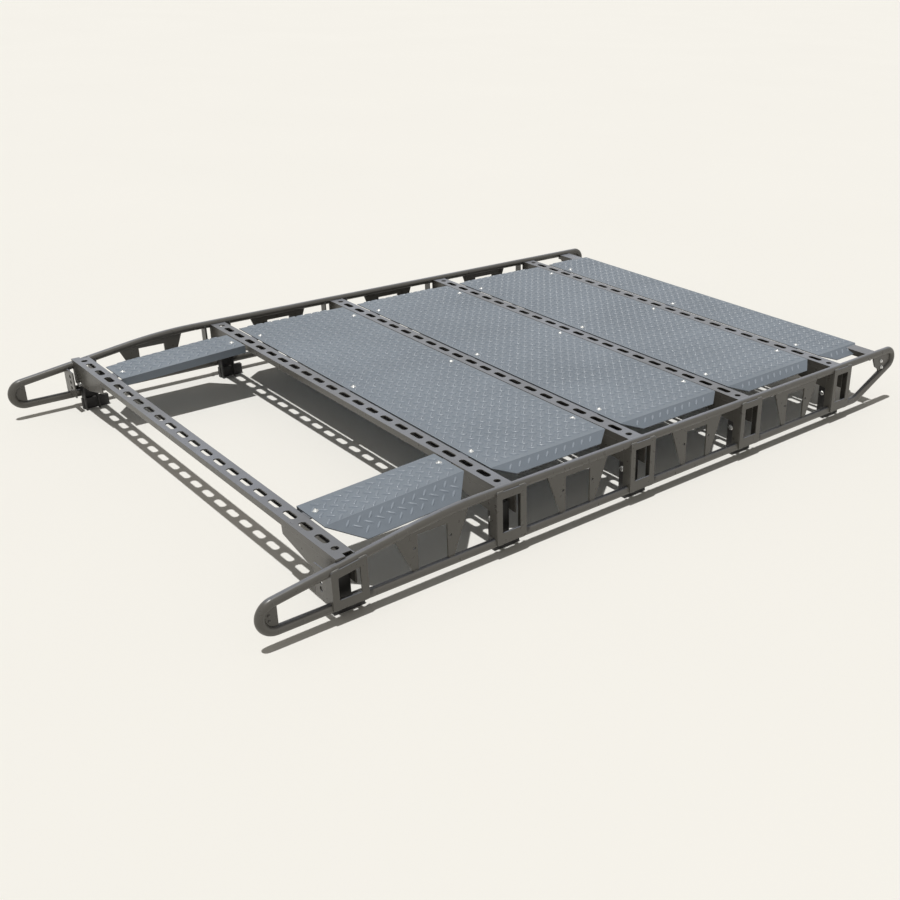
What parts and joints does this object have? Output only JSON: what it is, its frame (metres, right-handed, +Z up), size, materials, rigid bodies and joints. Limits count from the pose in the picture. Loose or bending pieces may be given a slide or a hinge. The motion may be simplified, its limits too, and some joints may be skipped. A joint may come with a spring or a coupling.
{
  "type": "roof rack",
  "caption": "Low full-length vehicle roof rack: bent tube side rails with plate struts, slotted crossbars, ribbed tread panels and an open front bay.",
  "frame": {"origin": "on the ground, under the middle of the rack", "axes": "+Z up, the low nose end towards -Y, the tail towards +Y, +X to the side"},
  "size_m": [1.329, 1.892, 0.157],
  "materials": {
    "frame_coat": "satin powder coat",
    "tread_plate": "satin coat on ribbed plate",
    "zinc_bolts": "bright zinc",
    "foot_pads": "satin powder coat"
  },
  "bodies": {
    "root": {"front_tube_left": "frame_coat", "front_tube_right": "frame_coat", "knee_tube_left": "frame_coat", "knee_tube_right": "frame_coat", "top_tube_left": "frame_coat", "top_tube_right": "frame_coat", "bottom_tube_left": "frame_coat", "bottom_tube_right": "frame_coat", "nose_bend_left": "frame_coat", "nose_bend_right": "frame_coat", "tail_knee_left": "frame_coat", "tail_knee_right": "frame_coat", "tail_riser_left": "frame_coat", "tail_riser_right": "frame_coat", "tail_bend_left": "frame_coat", "tail_bend_right": "frame_coat", "nose_plates": "frame_coat", "tail_plates": "frame_coat", "strut_plates_left": "frame_coat", "strut_plates_right": "frame_coat", "bracket_frames_left": "frame_coat", "bracket_frames_right": "frame_coat", "front_flanges": "frame_coat", "rear_flanges": "frame_coat", "bar_gussets_left": "frame_coat", "bar_gussets_right": "frame_coat", "feet_left": "foot_pads", "feet_right": "foot_pads", "crossbar_1": "frame_coat", "crossbar_2": "frame_coat", "crossbar_3": "frame_coat", "crossbar_4": "frame_coat", "crossbar_5": "frame_coat", "rear_cross_member": "frame_coat", "side_panel_left": "tread_plate", "side_panel_right": "tread_plate", "deck_panel_1": "tread_plate", "deck_panel_2": "tread_plate", "deck_panel_3": "tread_plate", "deck_panel_4": "tread_plate", "panel_clips": "frame_coat", "panel_bolts": "zinc_bolts", "rail_bolts": "zinc_bolts", "foot_bolts": "zinc_bolts"}
  },
  "joints": []
}
